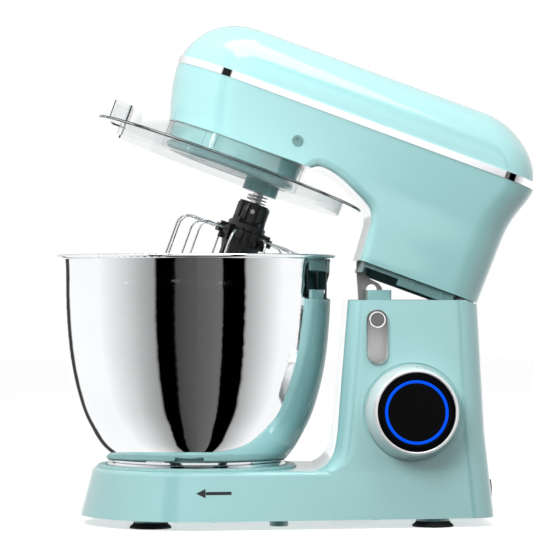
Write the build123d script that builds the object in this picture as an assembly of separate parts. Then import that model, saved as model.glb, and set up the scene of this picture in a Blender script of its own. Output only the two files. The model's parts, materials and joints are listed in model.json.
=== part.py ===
from build123d import *
import math
import os

os.makedirs("parts", exist_ok=True)

# Stand mixer with a tilting head. Millimetres, +Z up, the front of the mixer is -Y and the knob side is +X.
# Everything is first laid out with the head closed and the bowl axis at X = Y = 0; place() then tilts the head
# pieces to the raised rest position and moves the whole to its origin, the middle of its footprint.

# ---- driving dimensions -------------------------------------------------------------------------------
TILT = 20.0                    # head raised by this much at rest
PIVOT_Y, PIVOT_Z = 227.9, 188.2
BOWL_Y = -84.8                 # where the bowl axis ends up
FLOOR_GAP = 7.5                # underside of the base above the floor
DECK_Z = 48.0                  # top of the base deck
NOSE_R_LOW, NOSE_R_TOP = 100.0, 89.0
COL_TOP = 190.8
WALL = 3.0
RIM_R, RIM_Z = 119.8, 229.5
BAND_LO, BAND_HI = 298.3, 304.4
HEAD_TOP_Z, HEAD_HALF = 347.9, 61.0
CHIN_R = 59.0
OFFSET = 32.0                  # output shaft from the carrier axis
LID_R, LID_Z = 119.5, 231.0
INTER_Y, MOTOR_Y = 63.0, 126.75
WHISK_R, WHISK_TOP, WIRE_R = 59.0, 179.0, 1.0
KNOB_R, KNOB_DEPTH = 40.5, 19.0


# ---- helpers ------------------------------------------------------------------------------------------
def place(shape, head=False):
    if head:
        shape = shape.rotate(Axis((0, PIVOT_Y, PIVOT_Z), (1, 0, 0)), -TILT)
    return Pos(0, BOWL_Y, 0) * shape


def solids_of(things):
    out = []
    for t in things if isinstance(things, (list, tuple)) else [things]:
        out += list(t.solids())
    return out


def save(name, things, head=False):
    parts = [place(s, head) for s in solids_of(things)]
    export_step(parts[0] if len(parts) == 1 else Compound(children=parts), f"parts/{name}.step")


def cyl(r, z0, z1, x=0.0, y=0.0):
    return Pos(x, y, (z0 + z1) / 2) * Cylinder(r, z1 - z0)


def tube(ro, ri, z0, z1, x=0.0, y=0.0):
    return cyl(ro, z0, z1, x, y) - cyl(ri, z0 - 1, z1 + 1, x, y)


def box(x0, x1, y0, y1, z0, z1):
    return Pos((x0 + x1) / 2, (y0 + y1) / 2, (z0 + z1) / 2) * Box(x1 - x0, y1 - y0, z1 - z0)


def xcyl(r, x0, x1, y, z):
    return Pos((x0 + x1) / 2, y, z) * Rot(0, 90, 0) * Cylinder(r, x1 - x0)


def rounded(pts, radii, z):
    """Closed wire at height z through corner points, each corner rounded."""
    n = len(pts)
    arcs = []
    for i in range(n):
        p0, p, p1 = Vector(*pts[i - 1]), Vector(*pts[i]), Vector(*pts[(i + 1) % n])
        a, b = (p0 - p).normalized(), (p1 - p).normalized()
        ang = math.acos(a.dot(b))
        d = radii[i] / math.tan(ang / 2)
        bis = (a + b).normalized()
        c = p + bis * (radii[i] / math.sin(ang / 2))
        arcs.append((p + a * d, c - bis * radii[i], p + b * d))
    lift = Vector(0, 0, z)
    edges = []
    for i in range(n):
        s, m, e = (q + lift for q in arcs[i])
        edges.append(Edge.make_three_point_arc(s, m, e))
        edges.append(Edge.make_line(e, arcs[(i + 1) % n][0] + lift))
    return Wire(edges)


def trap(z, yf, hf, yr, hr, rf, rr):
    return rounded([(-hf, yf), (hf, yf), (hr, yr), (-hr, yr)], [rf, rf, rr, rr], z)


def skin(wires, ruled=False):
    return Solid.make_loft(wires, ruled)


def interp(table, z):
    """Piecewise linear in a table of (z, value) sorted by falling z."""
    for (za, va), (zb, vb) in zip(table, table[1:]):
        if za >= z >= zb:
            return va + (vb - va) * (za - z) / (za - zb)
    return table[0][1] if z > table[0][0] else table[-1][1]


def turn(points, closed=True):
    """Solid of revolution about Z from (radius, height) points."""
    return revolve(make_face(Polyline(*[(r, 0, z) for r, z in points], close=closed)), Axis.Z)


def flat(points, x0, x1):
    """Side profile given as (Y, Z) points, extruded from x0 to x1."""
    f = make_face(Polyline(*[(x0, y, z) for y, z in points], close=True))
    return extrude(f, amount=x1 - x0, dir=(1, 0, 0))


def gear_pts(n, m, add=1.0, ded=1.25, slack=0.12, phase=0.0):
    """Involute gear outline; slack is the tooth thinning at the pitch circle."""
    rp = n * m / 2
    pa = math.radians(20)
    rb, ra, rf = rp * math.cos(pa), rp + add * m, rp - ded * m
    inv = lambda a: math.tan(a) - a
    half = math.pi / (2 * n) - slack / (2 * rp)
    r0 = max(rb, rf)
    flank = [r0, (r0 + ra) / 2, ra]
    th = [half + inv(pa) - inv(math.acos(min(1.0, rb / r))) for r in flank]
    pts = []
    for k in range(n):
        c = math.radians(phase) + 2 * math.pi * k / n
        if rf < rb - 0.01:
            pts.append((rf, c - th[0]))
        pts += [(r, c - t) for r, t in zip(flank, th)]
        pts += [(r, c + t) for r, t in reversed(list(zip(flank, th)))]
        if rf < rb - 0.01:
            pts.append((rf, c + th[0]))
    return [(r * math.cos(t), r * math.sin(t)) for r, t in pts]


def gear(n, m, z0, z1, x=0.0, y=0.0, **kw):
    f = make_face(Polyline(*[(px, py, 0) for px, py in gear_pts(n, m, **kw)], close=True))
    return Pos(x, y, z0) * extrude(f, amount=z1 - z0, dir=(0, 0, 1))


def screw(x, y, z, length, head_r=3.4, up=True, r=1.8, head_h=2.2):
    """Pan-head screw with a cross recess; its shank goes down from z, or up when up is False."""
    s = -1 if up else 1
    body = cyl(r, *sorted((z, z + s * length)), x, y) + cyl(head_r, *sorted((z, z - s * head_h)), x, y)
    top = z - s * head_h
    for w, h in ((3.6, 0.8), (0.8, 3.6)):
        body -= Pos(x, y, top + s * 0.5) * Box(w, h, 1.0)
    return body


# ---- base and column -----------------------------------------------------------------------------------
def deck_wire(z, r, phi, inset=0.0):
    """Round front, straight sides closing in toward the rear."""
    r -= inset
    t = math.radians(phi)
    x0, y0 = r * math.cos(t), r * math.sin(t)
    xe = r / math.cos(t) - 205.0 * math.tan(t)
    return Wire([
        Edge.make_three_point_arc((-x0, y0, z), (0, -r, z), (x0, y0, z)),
        Edge.make_line((x0, y0, z), (xe, 205, z)),
        Edge.make_line((xe, 205, z), (-xe, 205, z)),
        Edge.make_line((-xe, 205, z), (-x0, y0, z)),
    ])


def side_line(z):
    """Half width of the column side as a - b*y at height z."""
    if z <= DECK_Z:
        u = (z - FLOOR_GAP) / (DECK_Z - FLOOR_GAP)
        return 101.39 + (89.73 - 101.39) * u + 0.15, 0.1673 + (0.1281 - 0.1673) * u
    u = (z - DECK_Z) / (192.0 - DECK_Z)
    return 89.88 + (69.58 - 89.88) * u, 0.1281 + (0.0737 - 0.1281) * u


COL_FRONT = [(192.0, 127.9), (80.0, 118.3), (72.0, 117.2), (65.0, 115.8), (59.0, 113.4), (54.0, 109.6),
             (50.5, 104.8), (48.0, 99.0), (7.5, 94.0)]
COL_REAR = [(192.0, 238.5), (80.0, 244.3), (48.0, 247.7), (7.5, 252.0)]


def tower_wire(z, inset=0.0):
    a, b = side_line(z)
    yf, yr = interp(COL_FRONT, z) + inset, interp(COL_REAR, z) - inset
    return trap(z, yf, a - b * yf - inset, yr, a - b * yr - inset, 15 - inset, 24 - inset)


TOWER_Z = [48.0, 50.5, 54.0, 59.0, 65.0, 72.0, 80.0]

deck = skin([deck_wire(FLOOR_GAP, NOSE_R_LOW, 9.5), deck_wire(DECK_Z, NOSE_R_TOP, 7.3)], True)
deck = fillet([e for e in deck.edges() if e.center().Z > DECK_Z - 0.1 and e.center().Y < 190], 5.0)


def tower(inset=0.0):
    """Foot, flared root and straight upper part of the column."""
    foot_part = skin([tower_wire(z, inset) for z in (FLOOR_GAP, DECK_Z)], True)
    root = skin([tower_wire(z, inset) for z in TOWER_Z])
    shaft = skin([tower_wire(z, inset) for z in (80.0, 192.0)], True)
    return foot_part, Part() + foot_part + root + shaft


in_foot, in_tower = tower(WALL)
outer = Part() + deck + tower()[1]
in_deck = skin([deck_wire(FLOOR_GAP, NOSE_R_LOW, 9.5, WALL), deck_wire(45.0, NOSE_R_TOP + 0.8, 7.5, WALL)], True)
in_deck = in_deck - (cyl(90.5, 39.0, 60.0) - box(-90, 90, 60, 200, 30, 70))
cavity = in_deck + in_tower
housing = outer - cavity
housing -= box(-90, 90, 60, 260, COL_TOP, 200)
# rear of the column top slopes down so that the neck can swing back over it
slope = math.tan(math.radians(TILT))
housing -= flat([(227.4, COL_TOP), (250, COL_TOP - 22.6 * slope), (250, 200), (227.4, 200)], -90, 90)
# bowl seat: round recess in the deck
housing -= cyl(86.0, 43.0, 60.0)
# inner ledges that carry the hinge bracket
for s in (-1, 1):
    ledge = box(s * 34 if s > 0 else -64, 64 if s > 0 else -34, 186, 232, 140, 146)
    housing += ledge & in_tower
for s in (-1, 1):
    for y in (194, 224):
        housing -= cyl(2.1, 138, 150, s * 40, y)


def local_plane(y, z):
    """Plane on the +X side of the column at (y, z), its normal pointing out."""
    a, b = side_line(z)
    da = (69.58 - 89.88) / (192.0 - DECK_Z)
    db = (0.0737 - 0.1281) / (192.0 - DECK_Z)
    n = Vector(1, b, -(da - db * y)).normalized()
    return Plane(origin=(a - b * y, y, z), x_dir=Vector(0, 1, 0).cross(n).cross(n) * -1, z_dir=n)


KNOB_PL = local_plane(181.5, 96.0)
LEVER_PL = local_plane(151.3, 174.1)


def at(plane, shape):
    return plane.location * shape


# knob recess and the hole for the encoder neck; lever seat and bush hole
housing -= at(KNOB_PL, cyl(42.5, -1.0, 8.0))
housing += at(KNOB_PL, cyl(14.0, -8.0, -1.0))
housing -= at(KNOB_PL, cyl(5.0, -12.0, 2.0))
housing -= at(KNOB_PL, cyl(11.0, -12.0, -4.0))
housing += at(LEVER_PL, cyl(12.0, -7.0, -0.6))
housing -= at(LEVER_PL, cyl(7.0, -14.0, 6.0))
# cord outlet at the rear of the base
housing -= Pos(0, 250, 26) * Rot(90, 0, 0) * Cylinder(7.9, 30)
save("base_housing", housing)

cover = box(-110, 110, -110, 260, FLOOR_GAP, 10.5) & (in_deck + in_foot)
FEET = [(62.0, -38.6), (-62.0, -38.6), (50.0, 199.3), (-50.0, 199.3)]
for x, y in FEET:
    cover += cyl(14.5, 5.0, 9.0, x, y)
for s in (-1, 1):
    cover += cyl(8.0, 2.6, 9.0, s * 74, 68.7)
COVER_SCREWS = [(0, -85), (78, 15), (-78, 15), (56, 150), (-56, 150), (36, 238), (-36, 238)]
for x, y in COVER_SCREWS:
    cover -= cyl(1.9, 0, 20, x, y)
for x, y in FEET:
    cover -= cyl(2.0, 0, 20, x, y)
slots = [box(-26, 26, 118 + 9 * i, 121 + 9 * i, 0, 20) for i in range(4)]
for sl in slots:
    cover -= sl
save("base_bottom_cover", cover)

save("base_cover_screws", [screw(x, y, FLOOR_GAP, 9.0, up=False, head_h=1.6) for x, y in COVER_SCREWS])

foot = turn([(3.4, 0.0), (17.5, 0.0), (17.5, 1.4), (15.2, 3.2), (14.0, 5.0), (2.3, 5.0), (2.3, 2.2), (3.4, 2.2)])
save("rubber_feet", [Pos(x, y, 0) * foot for x, y in FEET])
save("foot_screws", [cyl(2.0, 2.2, 12.0, x, y) + cyl(3.4, 0.9, 2.2, x, y) + cyl(3.8, 10.5, 13.0, x, y) for x, y in FEET])

# seat ring with a raised bayonet lip, open at three notches
seat = turn([(0, 43.0), (86.0, 43.0), (86.0, 48.6), (84.0, 50.5), (79.0, 50.5), (78.2, 49.7), (78.2, 46.9), (81.4, 46.9), (81.4, 44.9),
             (0, 44.9)])
for k in range(3):
    seat -= Rot(0, 0, 120 * k + 115) * box(60, 81.4, -13.5, 13.5, 44.9, 60)
save("bowl_seat_ring", seat)

# column cap with the raised interlock tab
cap = box(-90, 90, 100, 206, 174.5, 177.5) & in_tower
cap -= box(-16, -6, 120, 176, 170, 180)
cap += box(-4, 40, 145.0, 165.0, 177.5, 199.3)
cap = fillet(cap.edges().filter_by(Axis.Z).filter_by_position(Axis.Z, 185, 195), 1.5)
cap -= box(-1, 37, 148.0, 162.0, 170.0, 196.8)
cap -= at(LEVER_PL, cyl(17.5, -20.0, 1.0))
cap -= housing
save("column_cap", cap)
save("interlock_switch", [box(4, 24, 150.0, 156.0, 168.0, 178.0) + box(9, 13, 151.5, 154.5, 178.0, 181.0),
                          box(2, 3.2, 149, 157, 165, 174) + box(3.2, 4.0, 151, 155, 168, 172)])

# hinge: U bracket, bolts, pin, clips
ears = None
for s in (-1, 1):
    x0, x1 = (30.2, 34.2) if s > 0 else (-34.2, -30.2)
    ear = box(x0, x1, 214, 233.6, 149.0, PIVOT_Z - 1) + xcyl(6.4, x0, x1, PIVOT_Y, PIVOT_Z)
    ear -= box(x0 - 1, x1 + 1, 190, PIVOT_Y - 6.4, PIVOT_Z - 4, 200)
    ears = ear if ears is None else ears + ear
bracket = ears + box(-46, 46, 188, 233.6, 146.0, 149.0) - box(-24, 24, 180, 226, 140, 152)
bracket -= xcyl(3.0, -50, 50, PIVOT_Y, PIVOT_Z)
for s in (-1, 1):
    for y in (194, 224):
        bracket -= cyl(2.1, 138, 160, s * 40, y)
bracket -= housing
save("hinge_bracket", bracket)
save("hinge_bolts", [cyl(2.1, 137.0, 149.0, s * 40, y) + Pos(s * 40, y, 150.4) * extrude(RegularPolygon(4.0, 6), amount=2.8 / 2, both=True)
                     + cyl(4.0, 137.0, 140.0, s * 40, y) for s in (-1, 1) for y in (194, 224)])
pin = xcyl(3.0, -38.5, 38.5, PIVOT_Y, PIVOT_Z)
for s in (-1, 1):
    pin -= (xcyl(4.0, s * 36.1, s * 35.0, PIVOT_Y, PIVOT_Z) if s < 0 else xcyl(4.0, 35.0, 36.1, PIVOT_Y, PIVOT_Z)) - xcyl(2.4, -40, 40, PIVOT_Y, PIVOT_Z)
save("hinge_pin", pin)
clip = Rot(0, 90, 0) * (Cylinder(5.2, 1.0) - Cylinder(2.4, 3.0)) - Pos(0, 0, -4) * Box(3, 3.4, 8)
save("hinge_clips", [Pos(s * 35.55, PIVOT_Y, PIVOT_Z) * clip for s in (-1, 1)])

# electrics in the column foot: board, parts on it, encoder, cord outlet bush
board = box(-34, 34, 150, 226, 30.0, 31.6)
standoffs = [tube(3.0, 1.2, 10.5, 30.0, x, y) for x in (-28, 28) for y in (156, 220)]
save("control_board", [board] + standoffs)
save("board_components", [cyl(8.0, 31.6, 58.0, -18, 172), cyl(8.0, 31.6, 58.0, -18, 192), box(0, 26, 160, 186, 31.6, 50),
                          box(-4, 20, 192, 214, 31.6, 40), box(-30, -8, 204, 216, 31.6, 36)])
enc = at(KNOB_PL, cyl(5.0, -12.0, -1.0) + cyl(10.5, -10.0, -8.0) + Pos(0, 0, -17) * Box(19, 19, 10))
enc -= at(KNOB_PL, cyl(3.06, -20.0, 2.0))
save("speed_encoder", enc)
bush = cyl(7.9, -4.7, 0.6) + cyl(10.4, 0.6, 3.0) - cyl(3.9, -10, 10)
save("cord_outlet_bush", Pos(0, 250.4, 26) * Rot(-90, 0, 0) * bush - housing)

# ---- speed knob ----------------------------------------------------------------------------------------
skirt = turn([(0, 3.0), (0, 15.6), (33.0, 15.6), (33.0, 18.2), (34.2, 19.0), (35.4, 18.4), (38.2, 9.0), (40.2, 1.2),
              (40.5, 0.3), (40.2, -0.6), (37.6, -0.6), (35.6, 3.0)])
skirt -= cyl(3.0, -5, 20)
save("knob_skirt", at(KNOB_PL, skirt))
face = turn([(0, 15.6), (33.0, 15.6), (33.0, 18.0), (31.8, 18.7), (27.3, 18.7), (27.3, 17.2), (24.2, 17.2), (24.2, 18.7), (0, 18.7)])
save("knob_face", at(KNOB_PL, face))
save("knob_light_ring", at(KNOB_PL, tube(27.3, 24.2, 17.2, 18.9)))
save("knob_shaft", at(KNOB_PL, cyl(3.0, -19.0, 15.6)))

# ---- release lever -------------------------------------------------------------------------------------
pill = extrude(Pos(0, 0) * SlotCenterToCenter(28.4, 17.4, 90), amount=3.2)
pill_local = Pos(0, -14.2, 0.4) * pill
# the pill hangs below its axis: pick the local direction that points down
probe = at(LEVER_PL, Pos(0, -14.2, 0) * Sphere(1)).center()
if probe.Z > 174.1:
    pill_local = Pos(0, 14.2, 0.4) * pill
elif abs(probe.Z - 174.1) < 5:
    sgn = -1 if at(LEVER_PL, Pos(-14.2, 0, 0) * Sphere(1)).center().Z < 174.1 else 1
    pill_local = Pos(sgn * 14.2, 0, 0.4) * extrude(SlotCenterToCenter(28.4, 17.4, 0), amount=3.2)
plate = at(LEVER_PL, pill_local)
plate -= at(LEVER_PL, cyl(7.0, 2.2, 6.0))
plate -= at(LEVER_PL, cyl(3.2, -1, 6.0))
save("lever_plate", plate)
disc = cyl(7.0, 2.2, 4.6)
for k in range(-3, 4):
    disc -= Pos(k * 1.9, 0, 4.6) * Box(0.8, 20, 0.8)
save("lever_disc", at(LEVER_PL, disc))
cam = cyl(4.0, -16.0, 0.4) + cyl(3.2, 0.3, 2.2) + cyl(8.0, -16.0, -13.0) + Pos(9, 0, -14.5) * Box(12, 8, 3)
save("lever_shaft", at(LEVER_PL, cam))
lbush = tube(7.0, 4.06, -8.6, -0.8) + tube(8.6, 4.06, -8.6, -7.0)
save("lever_bush", at(LEVER_PL, lbush))
spring = sweep(Plane(origin=(5.6, 0, -12.3), z_dir=(0, 1, 0)) * Circle(0.45), path=Pos(0, 0, -12.3) * Helix(1.4, 3.0, 5.6))
save("lever_spring", at(LEVER_PL, spring))

# ---- bowl ----------------------------------------------------------------------------------------------
prof = [(116.4, 226.1), (115.7, 217.0), (115.6, 200.0), (115.1, 182.0), (114.0, 165.0), (112.0, 145.0), (108.9, 126.0),
        (104.6, 108.0), (99.0, 90.5), (92.6, 77.0), (85.0, 64.5), (79.5, 57.8), (74.5, 53.0), (68.0, 50.9), (60.0, 50.2)]
T = 1.2
outer_l = Spline(*[(r, 0, z) for r, z in prof])
inner_pts = [(r - T, z + (0 if z > 100 else T * min(1, (100 - z) / 50))) for r, z in prof]
inner_l = Spline(*[(r, 0, z) for r, z in inner_pts])
bowl_face = make_face([outer_l, Line((60.0, 0, 50.2), (0, 0, 50.2)), Line((0, 0, 50.2), (0, 0, inner_pts[-1][1])),
                       Line((0, 0, inner_pts[-1][1]), (inner_pts[-1][0], 0, inner_pts[-1][1])), inner_l,
                       Line((inner_pts[0][0], 0, inner_pts[0][1]), (116.4, 0, 226.1))])
bowl = revolve(bowl_face, Axis.Z)
bowl += revolve(make_face(Polyline((115.2, 0, 225.6), (116.5, 0, 225.6), (117.4, 0, 226.0), (117.4, 0, 228.6), (115.2, 0, 228.6), close=True)), Axis.Z)
bowl += Pos(0, 0, RIM_Z - 1.95) * Torus(RIM_R - 1.95, 1.95)
save("bowl", bowl)
ring = turn([(71.0, 45.0), (76.6, 45.0), (76.6, 50.6), (74.6, 52.6), (73.0, 52.6), (73.0, 50.2), (71.0, 50.2)])
ring = ring - bowl
for k in range(3):
    lug = Rot(0, 0, 120 * k + 90) * (box(76.0, 80.6, -10, 10, 45.0, 46.4))
    ring += lug & tube(80.6, 75.8, 40, 50)
save("bowl_foot_ring", ring)

# ---- head shells ---------------------------------------------------------------------------------------
FRONT = [(298.3, -71.3), (290.0, -71.0), (282.0, -69.9), (274.0, -68.3), (266.0, -66.3), (258.0, -63.9), (250.0, -61.6),
         (240.0, -60.0), (220.0, -60.0), (191.5, -60.0)]
REAR = [(298.3, 251.0), (290.0, 249.3), (282.0, 246.7), (274.0, 243.9), (266.0, 241.8), (258.0, 240.5), (250.0, 239.9),
        (240.0, 239.6), (220.0, 239.2), (191.5, 238.5)]
HALF_F = [(298.3, 61.2), (274.0, 61.2), (258.0, 61.4), (250.0, 61.8), (240.0, 64.0), (220.0, 68.0), (191.5, 74.0)]
HALF_R = [(298.3, 53.4), (266.0, 53.2), (250.0, 53.0), (220.0, 52.6), (191.5, 52.0)]
LEVELS = [298.3, 290.0, 282.0, 274.0, 266.0, 258.0, 250.0, 240.0, 220.0, 205.0, 191.5]


def low_wire(z, t=0.0):
    return trap(z, interp(FRONT, z) + t, interp(HALF_F, z) - t, interp(REAR, z) - t, interp(HALF_R, z) - t, 57.5 - t, 30 - t)


def arch_face(dy, dz, x0):
    low = [(66.0, 250.4), (71.5, 253.8), (79.0, 254.0), (91.7, 251.0), (103.6, 246.0), (114.6, 240.8), (122.4, 236.0), (127.0, 228.6),
           (128.9, 216.3), (129.9, 202.0), (130.6, 189.0)]
    p = [(x0, y + dy, z + dz) for y, z in low]
    return make_face([Line((x0, -140, 250.4 + dz), p[0]), Spline(*p), Line(p[-1], (x0, p[-1][1], 150)),
                      Line((x0, p[-1][1], 150), (x0, -140, 150)), Line((x0, -140, 150), (x0, -140, 250.4 + dz))])


arch = extrude(arch_face(0, 0, -110), amount=220, dir=(1, 0, 0))
arch_in = extrude(arch_face(3.4, 3.2, -110), amount=220, dir=(1, 0, 0))
body_out = Part() + skin([low_wire(z) for z in LEVELS]) - arch
try:
    edge = [e for e in body_out.edges() if e.length > 60 and 100 < e.center().Y < 130 and e.center().Z < 254]
    body_out = fillet(edge, 7.0)
except Exception:
    pass
chin = fillet(cyl(CHIN_R, 226.4, 256.0).edges().sort_by(Axis.Z)[0], 5.0)
low = body_out + chin
body_in = Part() + skin([low_wire(z, WALL) for z in LEVELS]) - arch_in
low -= body_in
low -= cyl(CHIN_R - 3.0, 228.5, 256.5)
low -= cyl(52.6, 220.0, 232.0)
# opening for the rear grille and the plug hole in each side
low -= box(-22, 22, 228, 260, 214, 262)
for s in (-1, 1):
    low -= xcyl(4.6, *( (52, 70) if s > 0 else (-70, -52)), 46.6, 267.7)
save("head_lower_housing", low, True)

R_F, C_F = 52.4, (-19.0, 295.5)
R_R, C_R = 60.0, (191.5, 288.0)


def top_wire(z, t=0.0):
    rf, rr = R_F - t, R_R - t
    a = math.sqrt(max(0.01, rf * rf - (z - C_F[1]) ** 2))
    yr = C_R[0] + math.sqrt(max(0.01, rr * rr - (z - C_R[1]) ** 2))
    hf, hr = (HEAD_HALF - R_F) + a, (53.4 - R_F + 6.0) + a * 0.885
    return trap(z, C_F[0] - a, hf, yr, hr, min(57.5 - t, hf * 0.95), min(32.0, hr * 0.92))


def top_levels(t, z0):
    lo = math.degrees(math.asin((z0 - C_F[1]) / (R_F - t)))
    n = 8
    return [C_F[1] + (R_F - t) * math.sin(math.radians(lo + (88.0 - lo) * i / n)) for i in range(n + 1)]


top_out = skin([top_wire(z) for z in top_levels(0, BAND_HI)])
top_in = skin([top_wire(z, WALL) for z in top_levels(WALL, BAND_HI)])
top_cover = Part() + top_out - top_in
save("head_top_cover", top_cover, True)

band_w = lambda t: trap(BAND_LO, -71.3 + t, 61.2 - t, 250.6 - t, 53.6 - t, 57.5 - t, 30 - t)
band = extrude(Face(band_w(-0.5)), amount=BAND_HI - BAND_LO, dir=(0, 0, 1)) - extrude(Face(band_w(3.4)), amount=BAND_HI - BAND_LO, dir=(0, 0, 1))
save("chrome_trim_band", band, True)

# skirt insert under the neck, open at the rear
ins_w = lambda z, t: trap(z, 131.0 + t, 69.58 - 0.0737 * 131.0 - t, 238.5 - t, 52.0 - t, 12.0, 20.0)
ins = extrude(Face(ins_w(182.5, 3.8)), amount=10.0, dir=(0, 0, 1)) - extrude(Face(ins_w(180.5, 6.2)), amount=20.0, dir=(0, 0, 1))
ins -= box(-90, 90, 216, 260, 170, 220)
for y in (152, 178, 204):
    for s in (-1, 1):
        w = 69.58 - 0.0737 * y - 3.8
        ins += box(min(s * (w - 1.2), s * (w + 0.3)), max(s * (w - 1.2), s * (w + 0.3)), y, y + 2.4, 182.5, 191.0)
# notch that clears the lever bush boss when the head is down
ins -= box(40, 90, 136.5, 166.5, 175.0, 187.6)
save("neck_skirt", ins, True)

# latch plate, laid out where it hangs in the raised position and then closed
latch = flat([(138.2, 224.0), (138.2, 214.8), (139.8, 191.6), (141.6, 166.0), (150.5, 166.0), (150.5, 172.0), (156.0, 174.0), (160.6, 184.0),
              (160.9, 198.0), (160.0, 201.8), (157.2, 205.0), (153.6, 207.0), (149.6, 209.2), (146.6, 213.0), (148.0, 224.0)], -12.6, -10.0)
latch -= xcyl(4.6, -14, -8, 151.2, 199.6)
latch = latch.rotate(Axis((0, PIVOT_Y, PIVOT_Z), (1, 0, 0)), TILT)
latch += box(-12.6, 4.0, 132.4, 135.2, 194.0, 206.0) + box(-12.6, -10.0, 133.0, 150.0, 194.0, 206.0)
latch = latch - ins - low
save("latch_plate", latch.solids().sort_by(SortBy.VOLUME)[-1], True)

# gearbox casting: plate over the ring gear, chin stub, hinge arm down to the knuckle
plate_w = lambda z: trap(z, -52, 54.0, 222, 44, 50, 14)
casting = extrude(Face(plate_w(259.0)), amount=5.0, dir=(0, 0, 1))
casting += tube(56.0, 51.0, 257.0, 259.0)
casting += tube(14.0, 8.06, 257.0, 266.0)
casting += cyl(9.0, 264.0, 266.0, 0, INTER_Y)
casting -= cyl(8.06, 240, 270)
casting -= cyl(5.06, 258.0, 270, 0, INTER_Y)
arm = None
for s in (-1, 1):
    a0, a1 = (24.0, 29.6) if s > 0 else (-29.6, -24.0)
    w = flat([(150, 260), (214, 260), (232.0, 224), (234.6, 192), (234.2, 186), (222.0, 184.6), (214.0, 192.0), (205.0, 206.0), (176, 222), (150, 240)], a0, a1)
    arm = w if arm is None else arm + w
arm += xcyl(6.8, -29.6, 29.6, PIVOT_Y, PIVOT_Z)
arm = arm & (xcyl(6.8, -40, 40, PIVOT_Y, PIVOT_Z) + box(-40, 40, 100, 234.7, 190.5, 270))
casting += arm
casting -= xcyl(3.06, -60, 60, PIVOT_Y, PIVOT_Z)
# posts for the motor plate
POSTS = [(-40, 100), (40, 100), (-40, 160), (40, 160), (-44, 0), (44, 0)]
for x, y in POSTS[:4]:
    casting += cyl(5.0, 264.0, 287.0, x, y)
for x, y in POSTS[:4]:
    if math.hypot(x, y - INTER_Y) < 62:
        casting -= cyl(54.0, 276.5, 287.0, 0, INTER_Y)
for x, y in POSTS[:4]:
    casting -= cyl(1.8, 275.9, 288.0, x, y)
save("gearbox_casting", casting, True)

motor_plate = box(-46, 46, 20, 176, 287.0, 290.0)
motor_plate -= cyl(11.0, 280, 295, 0, MOTOR_Y)
motor_plate -= cyl(5.06, 280, 289.0, 0, INTER_Y)
for x, y in POSTS[:4]:
    motor_plate -= cyl(2.1, 280, 295, x, y)
save("motor_plate", motor_plate, True)

ring_hole = Pos(0, 0, 0) * gear(48, 2.0, 243.0, 260.0, add=1.25, ded=0.9, slack=-0.14, phase=90.0)
ring_gear = tube(56.0, 40.0, 245.0, 257.0) - ring_hole
save("ring_gear", ring_gear, True)

can = turn([(36.0, 290.0), (37.5, 290.0), (37.5, 329.0), (35.5, 331.0), (9.0, 331.0), (9.0, 329.0), (36.0, 329.0)])
can += tube(37.5, 11.0, 290.0, 291.5)
for k in range(8):
    can -= Rot(0, 0, 45 * k) * box(20, 30, -4, 4, 325, 335)
save("motor_can", Pos(0, MOTOR_Y, 0) * can, True)
stator = tube(36.0, 27.0, 294.0, 322.0)
for k in range(12):
    stator += Rot(0, 0, 30 * k) * box(23.0, 29.0, -2.4, 2.4, 294.0, 322.0)
save("motor_stator", Pos(0, MOTOR_Y, 0) * stator, True)
bear = [tube(11.0, 4.06, 287.2, 291.0, 0, MOTOR_Y), tube(9.0, 4.06, 326.0, 331.0, 0, MOTOR_Y)]
save("motor_bearings", bear, True)

grille = box(-22, 22, 235.4, 238.6, 214, 262)
grille -= box(-60, 60, 238.0, 260, 262, 270)
for i in range(7):
    grille -= box(-18, 18, 230, 245, 218.5 + 6.2 * i, 221.3 + 6.2 * i)
save("rear_vent_grille", grille, True)
plug = lambda s: xcyl(4.6, *((56.6, 59.2) if s > 0 else (-59.2, -56.6)), 46.6, 267.7) - xcyl(2.0, *((58.4, 60) if s > 0 else (-60, -58.4)), 46.6, 267.7)
save("side_plugs", [plug(1), plug(-1)], True)
save("motor_plate_screws", [screw(x, y, 290.0, 14.0) for x, y in POSTS[:4]], True)

# ---- splash guard --------------------------------------------------------------------------------------
COL_IN = CHIN_R + 0.4
guard = turn([(COL_IN, LID_Z), (LID_R - 0.5, LID_Z), (LID_R, LID_Z + 1.0), (LID_R, LID_Z + 1.8), (LID_R - 0.8, LID_Z + 2.4), (LID_R - 2.4, LID_Z + 1.6),
              (COL_IN + 2.0, LID_Z + 1.6), (COL_IN + 2.0, 249.0), (COL_IN + 2.6, 249.6), (COL_IN + 2.6, 250.3), (COL_IN, 250.3)])
guard_ring = turn([(102.2, 222.0), (103.6, 222.0), (103.6, LID_Z), (102.2, LID_Z)])
chute = [(-32, -110), (32, -110), (32, -94.5), (-32, -94.5)]
ch_o = Face(rounded(chute, [4, 4, 3, 3], LID_Z + 0.5))
ch_i = Face(rounded([(-30.4, -108.4), (30.4, -108.4), (30.4, -96.1), (-30.4, -96.1)], [2.6, 2.6, 1.6, 1.6], 210.0))
guard += extrude(ch_o, amount=17.6, dir=(0, 0, 1))
guard -= extrude(ch_i, amount=60, dir=(0, 0, 1))
guard_ring -= box(-30.4, 30.4, -112.0, -92.0, 215.0, 240.0)
save("guard_inner_ring", guard_ring, True)
for x in (-20.0, 20.0):
    guard += flat([(-95.0, 231.5), (-90.5, 238.0), (-86.8, 248.2), (-83.3, 239.2), (-COL_IN + 1.2, 250.0), (-COL_IN + 1.2, 231.5)], x - 0.8, x + 0.8)
guard -= cyl(COL_IN, 220, 260)
for ang in (0.0, 112.0, 180.0, 292.0):
    a = math.radians(ang)
    dirn = Rot(0, 0, math.degrees(math.atan2(-22.5, 56.7)) + ang)
    guard += dirn * box(COL_IN + 1.4, COL_IN + 3.4, -5.5, 5.5, 238.5, 249.0)
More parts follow.
